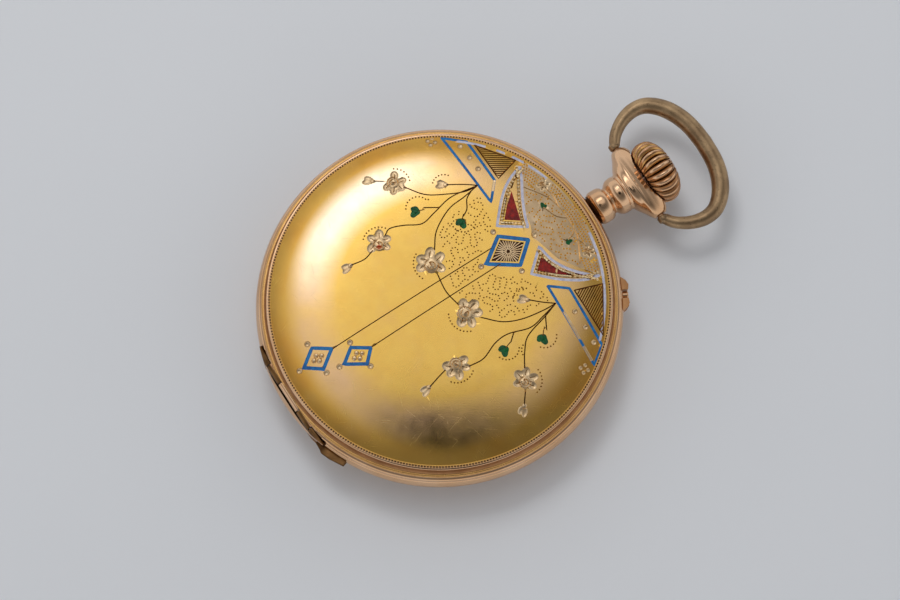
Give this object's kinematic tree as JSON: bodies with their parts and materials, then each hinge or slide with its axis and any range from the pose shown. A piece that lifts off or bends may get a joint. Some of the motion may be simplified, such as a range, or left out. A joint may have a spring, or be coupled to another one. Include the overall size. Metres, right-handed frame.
{
  "type": "pocket watch",
  "caption": "Open-face pocket watch with hinged back, dust cover and bezel, a ribbed winding crown, a bow, a setting pin, and a working gear train behind.",
  "frame": {"origin": "on the case axis, on the flat of the crystal that the watch lies on", "axes": "+Z out of the decorated back cover, +Y towards the pendant (twelve o'clock), +X to the right as the back is seen"},
  "size_m": [0.035, 0.0486, 0.0082],
  "materials": {
    "satin_gold": "satin, engraved and partly enamelled",
    "rose_gold": "polished",
    "antique_brass": "worn, matt",
    "gilt_brass": "gilt, frosted",
    "nickel": "nickel plated, striped",
    "steel": "polished",
    "blued_steel": "heat-blued, polished",
    "enamel_white": "glossy enamel",
    "ruby": "polished",
    "crystal": "clear, polished"
  },
  "bodies": {
    "case": {"case_band": "rose_gold", "back_hinge_pin": "steel", "bezel_hinge_pin": "steel", "pendant": "rose_gold", "setting_pin_guard": "rose_gold", "main_plate": "gilt_brass", "barrel_bridge": "nickel", "train_bridge": "nickel", "balance_cock": "nickel", "pallet_bridge": "nickel", "balance_jewel": "ruby", "third_jewel": "ruby", "fourth_jewel": "ruby", "escape_jewel": "ruby", "cock_screw": "blued_steel", "case_screw_1": "blued_steel", "case_screw_2": "blued_steel", "click_spring": "blued_steel", "dial": "enamel_white"},
    "back_cover": {"back_cover": "satin_gold"},
    "cuvette": {"cuvette": "rose_gold"},
    "bezel": {"bezel": "rose_gold", "crystal": "crystal"},
    "bow": {"bow": "antique_brass"},
    "crown": {"crown": "rose_gold", "winding_stem": "steel", "winding_pinion": "steel"},
    "clutch": {"sliding_pinion": "steel"},
    "setting_pin": {"setting_pin": "rose_gold"},
    "yoke": {"yoke": "steel", "yoke_spring": "blued_steel"},
    "crown_wheel": {"crown_wheel": "steel", "crown_pinion": "steel"},
    "ratchet": {"ratchet_wheel": "steel", "barrel_arbor": "steel", "ratchet_screw": "blued_steel"},
    "click": {"click": "steel"},
    "barrel": {"mainspring_barrel": "gilt_brass", "barrel_lid": "gilt_brass", "mainspring": "blued_steel"},
    "center": {"center_arbor": "steel", "center_wheel": "gilt_brass"},
    "third": {"third_arbor": "steel", "third_wheel": "gilt_brass"},
    "fourth": {"fourth_arbor": "steel", "fourth_wheel": "gilt_brass", "seconds_hand": "blued_steel"},
    "escape": {"escape_arbor": "steel", "escape_wheel": "steel"},
    "pallet_lever": {"pallet_lever": "steel"},
    "balance": {"balance_staff": "steel", "balance_wheel": "gilt_brass", "hairspring": "blued_steel"},
    "regulator": {"regulator": "steel"},
    "minute": {"cannon_pinion": "steel", "minute_hand": "blued_steel"},
    "minute_wheel": {"minute_wheel": "gilt_brass"},
    "hour": {"hour_wheel": "gilt_brass", "hour_hand": "blued_steel"},
    "setting_wheel": {"setting_wheel": "steel"}
  },
  "joints": [
    {"name": "back_cover_hinge", "type": "hinge", "parent": "case", "child": "back_cover", "pos_m": [0, -0.01665, 0.0049], "axis": [1, 0, 0], "range_deg": [0, 95]},
    {"name": "cuvette_hinge", "type": "hinge", "parent": "case", "child": "cuvette", "pos_m": [0, -0.01665, 0.0049], "axis": [1, 0, 0], "range_deg": [0, 80.75]},
    {"name": "bezel_hinge", "type": "hinge", "parent": "case", "child": "bezel", "pos_m": [0, -0.01665, 0.0031], "axis": [1, 0, 0], "range_deg": [-95, 0]},
    {"name": "bow_swing", "type": "hinge", "parent": "case", "child": "bow", "pos_m": [0, 0.02265, 0.00395], "axis": [1, 0, 0], "range_deg": [-90, 90]},
    {"name": "crown_turn", "type": "hinge", "parent": "case", "child": "crown", "pos_m": [0, 0.024, 0.00395], "axis": [0, 1, 0], "continuous": true},
    {"name": "clutch_slide", "type": "slide", "parent": "crown", "child": "clutch", "axis": [0, -1, 0], "range_m": [0, 0.0009]},
    {"name": "setting_pin_push", "type": "slide", "parent": "case", "child": "setting_pin", "axis": [-0.4848, -0.8746, 0], "range_m": [0, 0.0004], "stiffness_N_per_m": 500, "springref_m": -0.0004},
    {"name": "yoke_pivot", "type": "hinge", "parent": "case", "child": "yoke", "pos_m": [0.0098, 0.009, 0.005], "axis": [0, 0, 1], "range_deg": [0, 5.5]},
    {"name": "crown_wheel_turn", "type": "hinge", "parent": "case", "child": "crown_wheel", "pos_m": [0, 0.01018, 0.005], "axis": [0, 0, 1], "continuous": true},
    {"name": "ratchet_turn", "type": "hinge", "parent": "case", "child": "ratchet", "pos_m": [-0.00517, 0.00434, 0.005], "axis": [0, 0, 1], "continuous": true},
    {"name": "click_pivot", "type": "hinge", "parent": "case", "child": "click", "pos_m": [-0.01145, 0.00489, 0.005], "axis": [0, 0, 1], "range_deg": [0, 8], "stiffness_Nm_per_rad": 0.00001, "springref_deg": -5.73},
    {"name": "barrel_turn", "type": "hinge", "parent": "case", "child": "barrel", "pos_m": [-0.00517, 0.00434, 0.005], "axis": [0, 0, 1], "continuous": true},
    {"name": "center_turn", "type": "hinge", "parent": "case", "child": "center", "pos_m": [0, 0, 0.005], "axis": [0, 0, 1], "continuous": true},
    {"name": "third_turn", "type": "hinge", "parent": "case", "child": "third", "pos_m": [0.00399, -0.00364, 0.005], "axis": [0, 0, 1], "continuous": true},
    {"name": "seconds_turn", "type": "hinge", "parent": "case", "child": "fourth", "pos_m": [0, -0.0062, 0.005], "axis": [0, 0, 1], "continuous": true},
    {"name": "escape_turn", "type": "hinge", "parent": "case", "child": "escape", "pos_m": [-0.00403, -0.00767, 0.005], "axis": [0, 0, 1], "continuous": true},
    {"name": "pallet_rock", "type": "hinge", "parent": "case", "child": "pallet_lever", "pos_m": [-0.00595, -0.0057, 0.005], "axis": [0, 0, 1], "range_deg": [-5, 5]},
    {"name": "balance_swing", "type": "hinge", "parent": "case", "child": "balance", "pos_m": [-0.008, -0.0036, 0.005], "axis": [0, 0, 1], "range_deg": [-150, 150], "stiffness_Nm_per_rad": 0.00000012},
    {"name": "regulator_turn", "type": "hinge", "parent": "case", "child": "regulator", "pos_m": [-0.008, -0.0036, 0.005], "axis": [0, 0, 1], "range_deg": [-15, 15]},
    {"name": "minute_hand_turn", "type": "hinge", "parent": "case", "child": "minute", "pos_m": [0, 0, 0.005], "axis": [0, 0, 1], "continuous": true},
    {"name": "minute_wheel_turn", "type": "hinge", "parent": "case", "child": "minute_wheel", "pos_m": [0.0015, 0.0026, 0.005], "axis": [0, 0, 1], "continuous": true},
    {"name": "hour_hand_turn", "type": "hinge", "parent": "case", "child": "hour", "pos_m": [0, 0, 0.005], "axis": [0, 0, 1], "continuous": true},
    {"name": "setting_wheel_turn", "type": "hinge", "parent": "case", "child": "setting_wheel", "pos_m": [0, 0.00636, 0.005], "axis": [0, 0, 1], "continuous": true}
  ],
  "couplings": [
    {"joint": "cuvette_hinge", "follows": "back_cover_hinge", "ratio": 0.85},
    {"joint": "clutch_slide", "follows": "setting_pin_push", "ratio": 2.25},
    {"joint": "yoke_pivot", "follows": "setting_pin_push", "rad_per_m": 239.98},
    {"joint": "crown_wheel_turn", "follows": "crown_turn", "ratio": -0.8},
    {"joint": "ratchet_turn", "follows": "crown_turn", "ratio": 0.5},
    {"joint": "third_turn", "follows": "seconds_turn", "ratio": -0.13333},
    {"joint": "center_turn", "follows": "seconds_turn", "ratio": 0.016667},
    {"joint": "barrel_turn", "follows": "seconds_turn", "ratio": -0.0020833},
    {"joint": "escape_turn", "follows": "seconds_turn", "ratio": -10},
    {"joint": "minute_wheel_turn", "follows": "minute_hand_turn", "ratio": -0.33333},
    {"joint": "hour_hand_turn", "follows": "minute_hand_turn", "ratio": 0.083333},
    {"joint": "setting_wheel_turn", "follows": "minute_hand_turn", "ratio": 0.41667}
  ]
}
